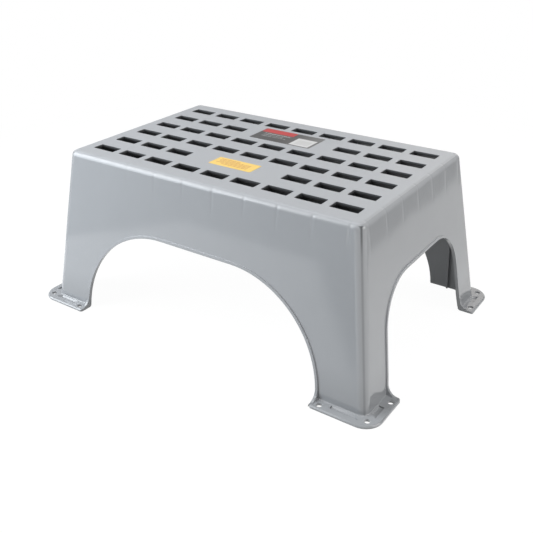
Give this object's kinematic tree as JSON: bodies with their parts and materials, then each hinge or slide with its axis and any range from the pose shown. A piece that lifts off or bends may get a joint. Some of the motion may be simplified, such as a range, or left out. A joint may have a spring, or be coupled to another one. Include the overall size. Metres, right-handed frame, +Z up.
{
  "type": "caravan entry step",
  "caption": "Moulded plastic step stool with a slotted deck, arched walls and bolt-down feet, for stepping up into a caravan.",
  "frame": {"origin": "on the floor under the middle of the deck, the bottom centre of the whole part", "axes": "+X along the long side, +Y from the front wall to the back wall, +Z up"},
  "size_m": [0.5602, 0.3796, 0.2262],
  "materials": {
    "grey_plastic": "satin moulded plastic",
    "yellow_film": "smooth vinyl film",
    "dark_film": "smooth vinyl film"
  },
  "bodies": {
    "root": {"step_moulding": "grey_plastic", "front_label": "yellow_film", "back_label": "dark_film"}
  },
  "joints": []
}
